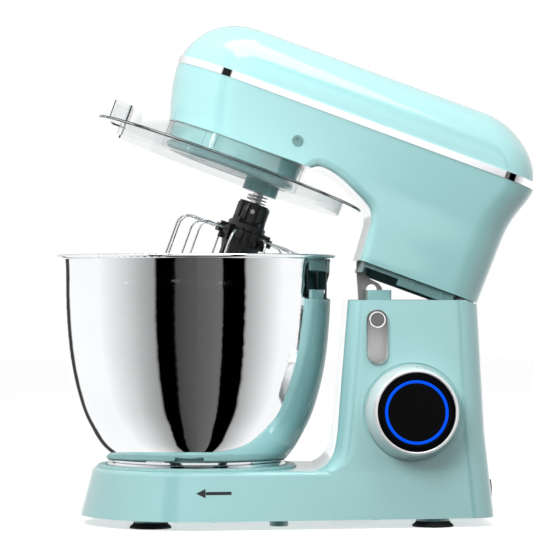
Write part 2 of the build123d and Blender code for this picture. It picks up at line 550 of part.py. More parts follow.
for dirn in (75, 105, 255, 285):
    guard += Rot(0, 0, dirn) * box(COL_IN + 0.6, COL_IN + 3.0, -3, 3, 227.6, 231.8)
save("splash_guard", guard, True)

# ---- drive -----------------------------------------------------------------------------------------------
rotor = cyl(4.0, 268.0, 333.0) + cyl(22.0, 296.0, 320.0)
for k in range(10):
    rotor -= Rot(0, 0, 36 * k) * box(19.5, 24.0, -1.0, 1.0, 290, 325)
save("motor_rotor", Pos(0, MOTOR_Y, 0) * rotor, True)
fan = tube(20.0, 4.0, 322.6, 323.6)
for k in range(9):
    fan += Rot(0, 0, 40 * k) * box(8.0, 20.0, -0.6, 0.6, 323.6, 325.6)
save("motor_fan", Pos(0, MOTOR_Y, 0) * (fan - cyl(4.0, 320, 330)), True)
save("motor_pinion", gear(17, 1.5, 278.0, 284.0, 0, MOTOR_Y, phase=270.0, add=0.95) - cyl(4.0, 270, 290, 0, MOTOR_Y), True)

big = gear(68, 1.5, 278.5, 283.5, 0, INTER_Y, phase=90.0 + 180.0 / 68, add=0.95) - cyl(5.0, 270, 290, 0, INTER_Y)
for k in range(6):
    big -= Pos(0, INTER_Y, 0) * Rot(0, 0, 60 * k + 30) * cyl(9.0, 270, 290, 30, 0)
save("intermediate_gear", big, True)
ipin = gear(18, 1.75, 267.2, 275.0, 0, INTER_Y, phase=270.0) + cyl(5.0, 259.5, 288.5, 0, INTER_Y) + cyl(9.0, 275.0, 278.5, 0, INTER_Y)
save("intermediate_pinion", ipin, True)

cgear = gear(54, 1.75, 267.5, 274.5, phase=90.0 + 180.0 / 54) - cyl(8.0, 260, 280)
for k in range(6):
    cgear -= Rot(0, 0, 60 * k) * cyl(8.0, 260, 280, 27, 0)
save("carrier_gear", cgear, True)
save("carrier_shaft", cyl(8.0, 231.0, 276.0) + cyl(10.5, 231.0, 240.0) + tube(10.5, 7.9, 274.5, 276.5), True)
carrier = cyl(52.0, 226.6, 231.0) + cyl(15.2, 217.0, 244.0, 0, OFFSET) + cyl(13.0, 231.0, 238.0, 0, -30)
carrier -= cyl(10.5, 231.0, 250.0)
carrier -= cyl(4.56, 210.0, 250.0, 0, OFFSET)
save("planetary_carrier", carrier, True)

out_shaft = cyl(4.5, 181.0, 258.0, 0, OFFSET)
save("output_shaft", out_shaft - Pos(0, OFFSET, 200.0) * Rot(90, 0, 0) * Cylinder(1.5, 20), True)
save("planet_pinion", gear(16, 2.0, 245.5, 256.5, 0, OFFSET, phase=90.0, ded=1.2, add=0.9) - cyl(4.5, 240, 260, 0, OFFSET), True)
save("cross_pin", Pos(0, OFFSET, 200.0) * Rot(90, 0, 0) * Cylinder(1.5, 19.0), True)
coil = sweep(Plane(origin=(8.4, 0, 0), z_dir=(0, 1, 0)) * Circle(0.5), path=Helix(2.7, 7.0, 8.4))
save("shaft_spring", [Pos(0, OFFSET, 208.6) * coil], True)

# whisk hub: barrel with flats and ribs, stepped collar, arms for the wires, tapered body
hub = turn([(4.5, 178.0), (4.5, 207.6), (11.6, 207.6), (12.6, 206.6), (12.6, 192.5), (11.6, 192.5), (11.6, 190.0), (14.0, 190.0), (16.5, 188.0), (16.5, 183.5),
            (19.5, 181.5), (19.5, 176.0), (17.0, 170.0), (14.2, 160.0), (12.6, 148.0), (11.4, 147.0), (0, 147.0), (0, 178.0)])
for k in range(12):
    a = 20 + 30 * k
    hub += Rot(0, 0, a) * box(17.5, 25.0, -2.9, 2.9, 175.2, 182.0)
for k in range(4):
    hub -= Rot(0, 0, 45 + 90 * k) * box(11.4, 14.0, -3.4, 3.4, 194.0, 210.0)
    hub += Rot(0, 0, 90 * k) * box(10.5, 13.0, -2.6, 2.6, 185.0, 206.0)
hub -= cyl(4.5, 178.0, 215.0)
hub -= Pos(0, 0, 200.0) * Rot(90, 0, 0) * Cylinder(1.5, 40)
hub -= Rot(0, 0, 0) * xcyl(1.9, 4.0, 16.0, 0, 200.0)
wires = []
for k in range(6):
    zb = 60.0 + 2.25 * k
    h = 56.0
    r, rc = WHISK_R, 10.0
    zt = WHISK_TOP
    pts = [((-20.0, 0, zt), (-(r - rc), 0, zt)), ((-r, 0, zt - rc), (-r, 0, zb + h))]
    c = math.cos(math.radians(45)) * rc
    path = [
        Edge.make_line((-20.0, 0, zt), (-(r - rc), 0, zt)),
        Edge.make_three_point_arc((-(r - rc), 0, zt), (-(r - rc) - c, 0, zt - rc + c), (-r, 0, zt - rc)),
        Edge.make_line((-r, 0, zt - rc), (-r, 0, zb + h)),
        Edge.make_spline([Vector(-r, 0, zb + h), Vector(-r * 0.866, 0, zb + h * 0.5), Vector(-r * 0.5, 0, zb + h * 0.134), Vector(0, 0, zb),
                          Vector(r * 0.5, 0, zb + h * 0.134), Vector(r * 0.866, 0, zb + h * 0.5), Vector(r, 0, zb + h)],
                         tangents=[Vector(0, 0, -1), Vector(0, 0, 1)]),
        Edge.make_line((r, 0, zb + h), (r, 0, zt - rc)),
        Edge.make_three_point_arc((r, 0, zt - rc), ((r - rc) + c, 0, zt - rc + c), ((r - rc), 0, zt)),
        Edge.make_line(((r - rc), 0, zt), (20.0, 0, zt)),
    ]
    w = sweep(Plane(origin=(-20.0, 0, zt), z_dir=(-1, 0, 0)) * Circle(WIRE_R), path=Wire(path), transition=Transition.RIGHT)
    wires.append(Rot(0, 0, 20 + 30 * k) * w)
for k in range(12):
    hub -= Rot(0, 0, 20 + 30 * k) * Pos(23.0, 0, WHISK_TOP) * Rot(0, 90, 0) * Cylinder(WIRE_R, 6.0)
save("whisk_hub", Pos(0, OFFSET, 0) * hub, True)
save("whisk_wires", [Pos(0, OFFSET, 0) * w for w in wires], True)
save("whisk_hub_screw", [Pos(0, OFFSET, 0) * (xcyl(1.9, 5.2, 13.4, 0, 200.0) - xcyl(0.8, 12.6, 14, 0, 200.0))], True)
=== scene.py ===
import bpy
import bmesh
import math
import json
from mathutils import Vector, Matrix


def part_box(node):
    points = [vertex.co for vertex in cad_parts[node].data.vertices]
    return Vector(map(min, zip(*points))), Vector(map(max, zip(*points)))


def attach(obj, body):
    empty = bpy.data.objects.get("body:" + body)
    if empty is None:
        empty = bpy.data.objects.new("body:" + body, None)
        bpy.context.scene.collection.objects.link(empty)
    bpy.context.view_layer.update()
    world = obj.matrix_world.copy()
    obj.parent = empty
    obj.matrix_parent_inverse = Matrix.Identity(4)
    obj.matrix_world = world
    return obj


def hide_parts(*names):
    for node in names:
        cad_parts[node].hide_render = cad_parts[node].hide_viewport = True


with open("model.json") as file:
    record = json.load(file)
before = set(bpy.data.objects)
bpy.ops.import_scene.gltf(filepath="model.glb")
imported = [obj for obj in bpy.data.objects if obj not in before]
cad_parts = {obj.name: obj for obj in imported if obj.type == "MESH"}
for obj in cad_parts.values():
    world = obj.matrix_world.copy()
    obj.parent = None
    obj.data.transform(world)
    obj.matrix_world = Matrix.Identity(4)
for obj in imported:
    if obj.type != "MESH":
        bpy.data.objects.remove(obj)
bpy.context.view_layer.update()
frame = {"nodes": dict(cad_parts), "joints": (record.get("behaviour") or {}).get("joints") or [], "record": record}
NODES = frame["nodes"]
JOINTS = {j["name"]: j for j in frame["joints"]}

# The bowl axis and the head hinge, read from the frame.
lo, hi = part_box("bowl")
BY = (lo.y + hi.y) / 2
BOWL_R = (hi.x - lo.x) / 2
HINGE = Vector(JOINTS["head_tilt"]["pos_m"])
SPIN = Vector(JOINTS["carrier_spin"]["axis"]).normalized()
TILT = -math.atan2(SPIN.y, SPIN.z)
RAISE = Matrix.Translation(HINGE) @ Matrix.Rotation(TILT, 4, "X") @ Matrix.Translation(-HINGE)


def head_pt(x, y, z):
    """Closed-head point, millimetres from the bowl axis, to the raised rest position in metres."""
    return RAISE @ Vector((x / 1000, y / 1000 + BY, z / 1000))


# ---------------------------------------------------------------- materials
def new_mat(name):
    m = bpy.data.materials.new(name)
    m.use_nodes = True
    nt = m.node_tree
    b = next(n for n in nt.nodes if n.type == "BSDF_PRINCIPLED")
    return m, nt, b


def coords(nt, scale=(1, 1, 1)):
    tc = nt.nodes.new("ShaderNodeTexCoord")
    mp = nt.nodes.new("ShaderNodeMapping")
    mp.inputs["Scale"].default_value = scale
    nt.links.new(tc.outputs["Object"], mp.inputs["Vector"])
    return mp.outputs["Vector"]


def noise(nt, vec, scale, detail=3.0, rough=0.5):
    n = nt.nodes.new("ShaderNodeTexNoise")
    n.inputs["Scale"].default_value = scale
    n.inputs["Detail"].default_value = detail
    n.inputs["Roughness"].default_value = rough
    nt.links.new(vec, n.inputs["Vector"])
    return n.outputs["Fac"]


def ramp(nt, fac, lo_v, hi_v, a=0.3, b=0.7):
    r = nt.nodes.new("ShaderNodeMapRange")
    r.inputs["From Min"].default_value = a
    r.inputs["From Max"].default_value = b
    r.inputs["To Min"].default_value = lo_v
    r.inputs["To Max"].default_value = hi_v
    nt.links.new(fac, r.inputs["Value"])
    return r.outputs["Result"]


def mix_col(nt, fac, c0, c1):
    m = nt.nodes.new("ShaderNodeMix")
    m.data_type = "RGBA"
    m.inputs["A"].default_value = (*c0, 1)
    m.inputs["B"].default_value = (*c1, 1)
    nt.links.new(fac, m.inputs["Factor"])
    return m.outputs["Result"]


def bump(nt, b, height, strength, distance=0.0002, prev=None):
    n = nt.nodes.new("ShaderNodeBump")
    n.inputs["Strength"].default_value = strength
    n.inputs["Distance"].default_value = distance
    nt.links.new(height, n.inputs["Height"])
    if prev is not None:
        nt.links.new(prev, n.inputs["Normal"])
    nt.links.new(n.outputs["Normal"], b.inputs["Normal"])
    return n.outputs["Normal"]


def plastic(name, c0, c1, r0, r1, grain=1400, strength=0.05, coat=0.0, coat_r=0.05, spec=0.5, dist=0.0001):
    m, nt, b = new_mat(name)
    v = coords(nt)
    cloud = noise(nt, v, 9.0, 4.0)
    nt.links.new(mix_col(nt, ramp(nt, cloud, 0, 1), c0, c1), b.inputs["Base Color"])
    nt.links.new(ramp(nt, noise(nt, v, 60.0, 5.0), r0, r1), b.inputs["Roughness"])
    b.inputs["Coat Weight"].default_value = coat
    b.inputs["Coat Roughness"].default_value = coat_r
    b.inputs["Specular IOR Level"].default_value = spec
    bump(nt, b, noise(nt, v, grain, 2.0), strength, dist)
    return m


def metal(name, c0, c1, r0, r1, stretch=(1, 1, 1), scale=400, strength=0.05, dist=0.00005, aniso=0.0):
    m, nt, b = new_mat(name)
    b.inputs["Metallic"].default_value = 1.0
    v = coords(nt, stretch)
    lines = noise(nt, v, scale, 3.0)
    nt.links.new(mix_col(nt, ramp(nt, noise(nt, coords(nt), 14.0, 4.0), 0, 1), c0, c1), b.inputs["Base Color"])
    nt.links.new(ramp(nt, lines, r0, r1), b.inputs["Roughness"])
    b.inputs["Anisotropic"].default_value = aniso
    if strength:
        bump(nt, b, lines, strength, dist)
    return m


MINT = plastic("mint_gloss", (0.385, 0.705, 0.710), (0.398, 0.720, 0.725), 0.10, 0.16, 900, 0.02, 0.6, 0.03)
# A darker copy of the mint body colour for the inner faces and the recessed side plugs: painted shade.
MINT_PAINTED_SHADE = plastic("mint_satin_painted_shade", (0.17, 0.32, 0.32), (0.19, 0.345, 0.345), 0.30, 0.42, 1800, 0.12)
MINT_MID = plastic("mint_moulded", (0.33, 0.60, 0.60), (0.35, 0.62, 0.62), 0.25, 0.36, 1500, 0.10)
BLACK_GLOSS = plastic("black_gloss", (0.004, 0.004, 0.005), (0.007, 0.007, 0.008), 0.05, 0.10, 1200, 0.02, 0.8, 0.02)
GLASS_BLACK = plastic("black_glass", (0.002, 0.002, 0.0025), (0.003, 0.003, 0.004), 0.04, 0.08, 1200, 0.01, 0.0, 0.02, 0.03)
BLACK_PL = plastic("black_plastic", (0.010, 0.010, 0.011), (0.017, 0.017, 0.018), 0.32, 0.48, 2600, 0.25)
RUBBER = plastic("black_rubber", (0.008, 0.008, 0.008), (0.014, 0.014, 0.014), 0.55, 0.75, 3200, 0.35, spec=0.3)
NYLON = plastic("natural_nylon", (0.66, 0.63, 0.54), (0.72, 0.69, 0.60), 0.40, 0.55, 1600, 0.12)
STEEL = metal("polished_steel", (0.80, 0.81, 0.82), (0.84, 0.85, 0.86), 0.02, 0.045, (1, 1, 26), 120, 0.012, 0.00003)
CHROME = metal("bright_plating", (0.86, 0.87, 0.88), (0.90, 0.91, 0.92), 0.015, 0.035, (1, 1, 1), 500, 0.01, 0.00002)
BRUSHED = metal("brushed_steel", (0.36, 0.36, 0.36), (0.46, 0.46, 0.46), 0.26, 0.40, (1, 30, 1), 900, 0.20, 0.00004)
ZINC = metal("zinc_plate", (0.42, 0.42, 0.40), (0.52, 0.51, 0.49), 0.28, 0.42, (1, 1, 1), 700, 0.10)
CAST = metal("cast_alloy", (0.42, 0.42, 0.43), (0.50, 0.50, 0.51), 0.45, 0.62, (1, 1, 1), 900, 0.50, 0.0003)
MACHINED = metal("machined_steel", (0.48, 0.48, 0.49), (0.58, 0.58, 0.59), 0.20, 0.34, (1, 1, 30), 500, 0.15)
WIRE = metal("whisk_wire", (0.72, 0.73, 0.74), (0.80, 0.81, 0.82), 0.08, 0.16, (1, 1, 20), 400, 0.03)


def lit_blue():
    m, nt, b = new_mat("lit_blue")
    v = coords(nt)
    b.inputs["Base Color"].default_value = (0.0, 0.02, 0.20, 1)
    b.inputs["Roughness"].default_value = 0.35
    b.inputs["Specular IOR Level"].default_value = 0.1
    nt.links.new(mix_col(nt, ramp(nt, noise(nt, v, 120.0, 2.0), 0, 1), (0.0, 0.075, 0.80), (0.0, 0.085, 0.90)), b.inputs["Emission Color"])
    b.inputs["Emission Strength"].default_value = 1.0
    return m


def clear_plastic():
    m, nt, b = new_mat("clear_plastic")
    b.inputs["Base Color"].default_value = (0.90, 0.92, 0.92, 1)
    b.inputs["Transmission Weight"].default_value = 1.0
    b.inputs["IOR"].default_value = 1.47
    v = coords(nt)
    nt.links.new(ramp(nt, noise(nt, v, 40.0, 4.0), 0.0, 0.03), b.inputs["Roughness"])
    bump(nt, b, noise(nt, v, 60.0, 2.0), 0.03, 0.0001)
    return m


def copper():
    m, nt, b = new_mat("copper_winding")
    b.inputs["Metallic"].default_value = 1.0
    b.inputs["Roughness"].default_value = 0.35
    v = coords(nt)
    w = nt.nodes.new("ShaderNodeTexWave")
    w.bands_direction = "Z"
    w.inputs["Scale"].default_value = 600.0
    w.inputs["Distortion"].default_value = 1.0
    nt.links.new(v, w.inputs["Vector"])
    nt.links.new(mix_col(nt, w.outputs["Fac"], (0.42, 0.17, 0.07), (0.66, 0.30, 0.14)), b.inputs["Base Color"])
    bump(nt, b, w.outputs["Fac"], 0.5, 0.0002)
    return m


def pcb():
    m, nt, b = new_mat("circuit_board")
    v = coords(nt)
    br = nt.nodes.new("ShaderNodeTexBrick")
    br.inputs["Scale"].default_value = 260.0
    br.inputs["Color1"].default_value = (0.012, 0.10, 0.035, 1)
    br.inputs["Color2"].default_value = (0.016, 0.13, 0.045, 1)
    br.inputs["Mortar"].default_value = (0.03, 0.22, 0.07, 1)
    nt.links.new(v, br.inputs["Vector"])
    nt.links.new(br.outputs["Color"], b.inputs["Base Color"])
    nt.links.new(ramp(nt, noise(nt, v, 200.0), 0.25, 0.4), b.inputs["Roughness"])
    bump(nt, b, br.outputs["Fac"], 0.3, 0.0001)
    return m


BLUE, CLEAR, COPPER, PCB = lit_blue(), clear_plastic(), copper(), pcb()
BY_SLOT = {
    "mint_plastic": MINT, "mint_inner": MINT_PAINTED_SHADE, "polished_steel": STEEL, "bright_trim": CHROME, "brushed": BRUSHED,
    "zinc": ZINC, "black_gloss": BLACK_GLOSS, "blue_light": BLUE, "black_plastic": BLACK_PL, "black_rubber": RUBBER,
    "clear": CLEAR, "cast_alloy": CAST, "gear_steel": MACHINED, "gear_nylon": NYLON, "copper": COPPER, "board": PCB,
}
SLOT_OF = {s["node"]: s["material_slot"] for s in frame["record"]["subparts"]}
for name, obj in NODES.items():
    obj.data.materials.clear()
    obj.data.materials.append(BY_SLOT[SLOT_OF[name]])
# The side plugs take the darker mint, painted shade for their recesses.
for name, m in {"whisk_wires": WIRE, "planetary_carrier": MINT_MID, "bowl_seat_ring": MINT_MID, "side_plugs": MINT_PAINTED_SHADE, "knob_face": GLASS_BLACK}.items():
    NODES[name].data.materials[0] = m


# ---------------------------------------------------------------- mesh helpers
def finish_mesh(name, bm, mat, smooth=40.0):
    me = bpy.data.meshes.new(name)
    bmesh.ops.recalc_face_normals(bm, faces=bm.faces)
    bm.to_mesh(me)
    bm.free()
    ob = bpy.data.objects.new(name, me)
    bpy.context.scene.collection.objects.link(ob)
    me.materials.append(mat)
    me.polygons.foreach_set("use_smooth", [True] * len(me.polygons))
    me.set_sharp_from_angle(angle=math.radians(smooth))
    return ob


def lathe(name, prof, mat, segs=192, matrix=None, smooth=40.0):
    """Closed solid of revolution about Z from (radius, height) in metres; points on the axis are poles."""
    bm = bmesh.new()
    rings = []
    for r, z in prof:
        if r < 1e-7:
            rings.append([bm.verts.new((0, 0, z))])
        else:
            rings.append([bm.verts.new((r * math.cos(2 * math.pi * k / segs), r * math.sin(2 * math.pi * k / segs), z)) for k in range(segs)])
    n = len(rings)
    for i in range(n):
        a, b = rings[i], rings[(i + 1) % n]
        if len(a) == 1 and len(b) == 1:
            continue
        for k in range(segs):
            k2 = (k + 1) % segs
            if len(a) == 1:
                bm.faces.new((a[0], b[k], b[k2]))
            elif len(b) == 1:
                bm.faces.new((a[k], a[k2], b[0]))
            else:
                bm.faces.new((a[k], a[k2], b[k2], b[k]))
    if matrix is not None:
        bm.transform(matrix)
    return finish_mesh(name, bm, mat, smooth)


def curve_pts(points, steps=8):
    """Catmull-Rom points through a list of 2-D points."""
    out = []
    n = len(points)
    for i in range(n - 1):
        p0, p1, p2, p3 = points[max(i - 1, 0)], points[i], points[i + 1], points[min(i + 2, n - 1)]
        for s in range(steps):
            t = s / steps
            out.append(tuple(0.5 * ((2 * p1[k]) + (-p0[k] + p2[k]) * t + (2 * p0[k] - 5 * p1[k] + 4 * p2[k] - p3[k]) * t * t
                                    + (-p0[k] + 3 * p1[k] - 3 * p2[k] + p3[k]) * t ** 3) for k in (0, 1)))
    out.append(tuple(points[-1]))
    return out


# ---------------------------------------------------------------- knob
def joint_frame(name):
    """Axes along the column side: across, up and out, at a joint."""
    n = Vector(JOINTS[name]["axis"]).normalized()
    if n.x < 0:
        n.negate()
    v = (Vector((0, 1, 0)) - n * n.y).normalized()
    w = n.cross(v)
    m = Matrix((v, w, n)).transposed().to_4x4()
    m.translation = Vector(JOINTS[name]["pos_m"])
    return m


def mm(points):
    return [(r / 1000, z / 1000) for r, z in points]


def put(ob, body, slot, *nodes):
    if nodes:
        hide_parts(*nodes)
    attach(ob, body)
    return ob


SILVER = metal("silver_skirt", (0.90, 0.905, 0.91), (0.93, 0.935, 0.94), 0.10, 0.16, (1, 1, 1), 500, 0.01, 0.00002)
silver_b = next(n for n in SILVER.node_tree.nodes if n.type == "BSDF_PRINCIPLED")
silver_b.inputs["Metallic"].default_value = 0.30
silver_b.inputs["Coat Weight"].default_value = 1.0
silver_b.inputs["Coat IOR"].default_value = 1.8
silver_b.inputs["Coat Roughness"].default_value = 0.03

KF = joint_frame("speed_knob_turn")
skirt = lathe("knob_skirt_turned", mm([(33.05, 15.6), (33.05, 18.2), (33.3, 18.7), (33.8, 19.0), (34.4, 19.05), (35.0, 18.8), (35.4, 18.4),
                                       (36.3, 15.6), (37.3, 12.2), (38.2, 9.0), (39.2, 5.0), (40.1, 1.6), (40.4, 0.6), (40.3, -0.2), (40.0, -0.6),
                                       (37.6, -0.6), (35.6, 3.0), (33.05, 3.0)]), SILVER, 256, KF, 35)
put(skirt, "speed_knob", "bright_trim", "knob_skirt")
plate = lathe("knob_face_turned", mm([(0, 15.6), (33.0, 15.6), (33.0, 17.9), (32.7, 18.35), (32.1, 18.55), (31.8, 18.3), (31.5, 18.3), (31.2, 18.65),
                                      (30.3, 18.8), (30.0, 18.5), (29.7, 18.5), (29.4, 18.85), (28.2, 18.95), (27.7, 18.85), (27.0, 18.4), (26.95, 17.2),
                                      (24.35, 17.2), (24.3, 18.4), (24.0, 18.62), (18.0, 18.75), (9.0, 18.85), (0, 18.9)]), GLASS_BLACK, 256, KF, 28)
put(plate, "speed_knob", "black_gloss", "knob_face")
ring = lathe("knob_light_turned", mm([(24.45, 17.25), (26.85, 17.25), (26.85, 18.3), (26.6, 18.5), (24.7, 18.5), (24.45, 18.35)]), BLUE, 256, KF, 40)
put(ring, "speed_knob", "blue_light", "knob_light_ring")

# ---------------------------------------------------------------- release lever
LF = joint_frame("release_lever_swing")


# Brushed metal whose base colour fades from light grey at the bottom to dark grey at the top: a painted reflection
# standing in for how the lever catches the light.
def lever_metal_painted_reflection(name, z_lo, z_hi, bright_low_reflection, dark_high_reflection):
    m, nt, b = new_mat(name)
    b.inputs["Metallic"].default_value = 1.0
    v = coords(nt)
    sep = nt.nodes.new("ShaderNodeSeparateXYZ")
    nt.links.new(v, sep.inputs["Vector"])
    nt.links.new(mix_col(nt, ramp(nt, sep.outputs["Z"], 0, 1, z_lo, z_hi), bright_low_reflection, dark_high_reflection), b.inputs["Base Color"])
    lines = noise(nt, coords(nt, (1, 1, 30)), 900, 3.0)
    nt.links.new(ramp(nt, lines, 0.24, 0.38), b.inputs["Roughness"])
    bump(nt, b, lines, 0.2, 0.00004)
    return m


# Light grey low on the pill, dark grey high up: painted reflection gradient.
LEVER_PAINTED_REFLECTION = lever_metal_painted_reflection("lever_brushed_painted_reflection", 0.140, 0.176, (0.80, 0.80, 0.80), (0.17, 0.17, 0.17))
KNURL = metal("lever_knurl", (0.22, 0.22, 0.22), (0.30, 0.30, 0.30), 0.25, 0.40, (1, 1, 1), 900, 0.2)


def slot_outline(r, length, n=28):
    top = [(r * math.cos(math.pi * k / n), r * math.sin(math.pi * k / n)) for k in range(n + 1)]
    low = [(r * math.cos(math.pi + math.pi * k / n), -length + r * math.sin(math.pi + math.pi * k / n)) for k in range(n + 1)]
    return top + low


def stacked(name, layers, mat, matrix, smooth=35.0):
    """Closed solid through outlines at rising heights, all with the same number of points, in millimetres."""
    bm = bmesh.new()
    rings = [[bm.verts.new((x / 1000, y / 1000, z / 1000)) for x, y in pts] for z, pts in layers]
    n = len(rings[0])
    for a, b in zip(rings, rings[1:]):
        for k in range(n):
            bm.faces.new((a[k], a[(k + 1) % n], b[(k + 1) % n], b[k]))
    bm.faces.new(list(reversed(rings[0])))
    bm.faces.new(rings[-1])
    bm.transform(matrix)
    return finish_mesh(name, bm, mat, smooth)


pill = stacked("lever_pill", [(0.4, slot_outline(8.4, 28.4)), (0.7, slot_outline(8.7, 28.4)), (2.9, slot_outline(8.7, 28.4)), (3.25, slot_outline(8.6, 28.4)),
                              (3.5, slot_outline(8.3, 28.4)), (3.6, slot_outline(7.9, 28.4))], LEVER_PAINTED_REFLECTION, LF)
put(pill, "release_lever", "brushed", "lever_plate")
rim = lathe("lever_disc_rim", mm([(5.7, 3.3), (5.7, 4.35), (5.9, 4.6), (6.7, 4.6), (7.0, 4.3), (7.05, 3.3)]), CHROME, 128, LF, 40)
put(rim, "release_lever", "brushed", "lever_disc")
bm = bmesh.new()
grid = []
for i in range(1, 27):
    r = 5.72 * i / 26
    row = []
    for k in range(120):
        t = 2 * math.pi * k / 120
        x, y = r * math.cos(t), r * math.sin(t)
        h = 3.95 + (0.32 * abs(math.cos(math.pi * (x + y) / 1.5)) * abs(math.cos(math.pi * (x - y) / 1.5)) if r < 5.5 else 0.0)
        row.append(bm.verts.new((x / 1000, y / 1000, h / 1000)))
    grid.append(row)
mid = bm.verts.new((0, 0, 0.00427))
base_row = [bm.verts.new((v.co.x, v.co.y, 0.0034)) for v in grid[-1]]
for k in range(120):
    k2 = (k + 1) % 120
    bm.faces.new((mid, grid[0][k], grid[0][k2]))
    for a, b in zip(grid, grid[1:]):
        bm.faces.new((a[k], b[k], b[k2], a[k2]))
    bm.faces.new((grid[-1][k], base_row[k], base_row[k2], grid[-1][k2]))
bm.faces.new(list(reversed(base_row)))
bm.transform(LF)
knurl = finish_mesh("lever_disc_knurl", bm, KNURL, 20)
put(knurl, "release_lever", "brushed")

# ---------------------------------------------------------------- bowl arrow on the base
from mathutils.bvhtree import BVHTree

hm = NODES["base_housing"].data
TREE = BVHTree.FromPolygons([v.co.copy() for v in hm.vertices], [tuple(q.vertices) for q in hm.polygons])


def on_side(y, z):
    hit = TREE.ray_cast(Vector((0.3, y, z)), Vector((-1, 0, 0)))
    return hit[0], hit[1] if hit[1].x > 0 else -hit[1]


def decal(bm, columns, rows=4, out=0.00014, back=0.00012):
    top, low = [], []
    for y, za, zb in columns:
        ct, cl = [], []
        for j in range(rows + 1):
            p, n = on_side(y, za + (zb - za) * j / rows)
            ct.append(bm.verts.new(p + n * out))
            cl.append(bm.verts.new(p - n * back))
        top.append(ct)
        low.append(cl)
    for i in range(len(columns) - 1):
        for j in range(rows):
            bm.faces.new((top[i][j], top[i + 1][j], top[i + 1][j + 1], top[i][j + 1]))
            bm.faces.new((low[i][j], low[i][j + 1], low[i + 1][j + 1], low[i + 1][j]))
        bm.faces.new((top[i][0], low[i][0], low[i + 1][0], top[i + 1][0]))
        bm.faces.new((top[i][rows], top[i + 1][rows], low[i + 1][rows], low[i][rows]))
    for j in range(rows):
        bm.faces.new((top[0][j], top[0][j + 1], low[0][j + 1], low[0][j]))
        bm.faces.new((top[-1][j], low[-1][j], low[-1][j + 1], top[-1][j + 1]))


AY, AZ = BY - 0.0004, 0.0308
bm = bmesh.new()
decal(bm, [(AY + 0.0077 * i / 5, AZ - 0.00008 - 0.0037 * i / 5, AZ + 0.00008 + 0.0037 * i / 5) for i in range(6)])
decal(bm, [(AY + 0.0079 + 0.0213 * i / 10, AZ - 0.00125, AZ + 0.00125) for i in range(11)])
PRINT = plastic("black_print", (0.006, 0.006, 0.006), (0.010, 0.010, 0.010), 0.35, 0.45, 1500, 0.05)
arrow = finish_mesh("bowl_arrow", bm, PRINT, 30)
put(arrow, "base", "black_plastic")

# ---------------------------------------------------------------- whisk hub mouldings
HUB = RAISE @ Matrix.Translation((0, 0.032 + BY, 0))


def block(bm, r0, r1, half0, half1, z0, z1, ang, bev=0.35):
    """Radial block with softened edges, in millimetres, at an angle about the hub axis."""
    tmp = bmesh.new()
    vs = [tmp.verts.new((x / 1000, y / 1000, z / 1000)) for x, y, z in
          ((r0, -half0, z0), (r1, -half1, z0), (r1, half1, z0), (r0, half0, z0), (r0, -half0, z1), (r1, -half1, z1), (r1, half1, z1), (r0, half0, z1))]
    for f in ((3, 2, 1, 0), (4, 5, 6, 7), (0, 1, 5, 4), (1, 2, 6, 5), (2, 3, 7, 6), (3, 0, 4, 7)):
        tmp.faces.new([vs[i] for i in f])
    bmesh.ops.bevel(tmp, geom=list(tmp.edges), offset=bev / 1000, segments=2, affect="EDGES", profile=0.5)
    tmp.transform(Matrix.Rotation(math.radians(ang), 4, "Z"))
    me = bpy.data.meshes.new("tmp")
    tmp.to_mesh(me)
    tmp.free()
    bm.from_mesh(me)
    bpy.data.meshes.remove(me)


bm = bmesh.new()
for k in range(4):
    a = 90 * k
    block(bm, 10.0, 14.6, 3.0, 2.6, 191.5, 207.2, a + 35)
    block(bm, 10.0, 14.6, 3.0, 2.6, 191.5, 205.6, a + 63)
    block(bm, 10.0, 16.4, 3.4, 3.0, 186.6, 192.6, a + 49)
for k in range(12):
    a = 20 + 30 * k
    block(bm, 16.0, 22.8, 0.8, 0.7, 182.0, 184.6, a, 0.25)
    block(bm, 14.0, 21.5, 0.9, 0.6, 170.5, 175.6, a, 0.25)
for k in range(6):
    block(bm, 11.5, 16.2, 1.1, 0.8, 152.0, 171.5, 5 + 60 * k, 0.3)
bm.transform(HUB)
ribs = finish_mesh("whisk_hub_ribs", bm, BLACK_PL, 30)
put(ribs, "output", "black_plastic")

# ---------------------------------------------------------------- camera, light, floor
scene = bpy.context.scene
scene.view_settings.view_transform = "Standard"
scene.view_settings.look = "None"
cam_data = bpy.data.cameras.new("camera")
cam = bpy.data.objects.new("camera", cam_data)
scene.collection.objects.link(cam)
scene.camera = cam
YAW, DIST, EYE_Z, AIM_Y = math.radians(1.5), 2.5, 0.1993, 0.0602 + BY
cam.location = (DIST * math.cos(YAW), AIM_Y - DIST * math.sin(YAW), EYE_Z)
cam.rotation_mode = "QUATERNION"
cam.rotation_quaternion = Vector((-math.cos(YAW), math.sin(YAW), 0)).to_track_quat("-Z", "Y")
cam_data.lens = 18.0 * DIST / (0.00086 * 273.0)
cam_data.shift_y = 17.0 / 546.0
cam_data.clip_start, cam_data.clip_end = 0.05, 50

bm = bmesh.new()
bmesh.ops.create_grid(bm, x_segments=1, y_segments=1, size=6.0)
pale = plastic("pale_floor", (0.90, 0.90, 0.90), (0.92, 0.92, 0.92), 0.5, 0.6, 30, 0.01)
pale_b = next(n for n in pale.node_tree.nodes if n.type == "BSDF_PRINCIPLED")
pale_b.inputs["Emission Color"].default_value = (1, 1, 1, 1)
pale_b.inputs["Emission Strength"].default_value = 0.55
floor = finish_mesh("floor", bm, pale)
floor.location.z = -0.0002
floor.visible_glossy = False
floor.visible_diffuse = False

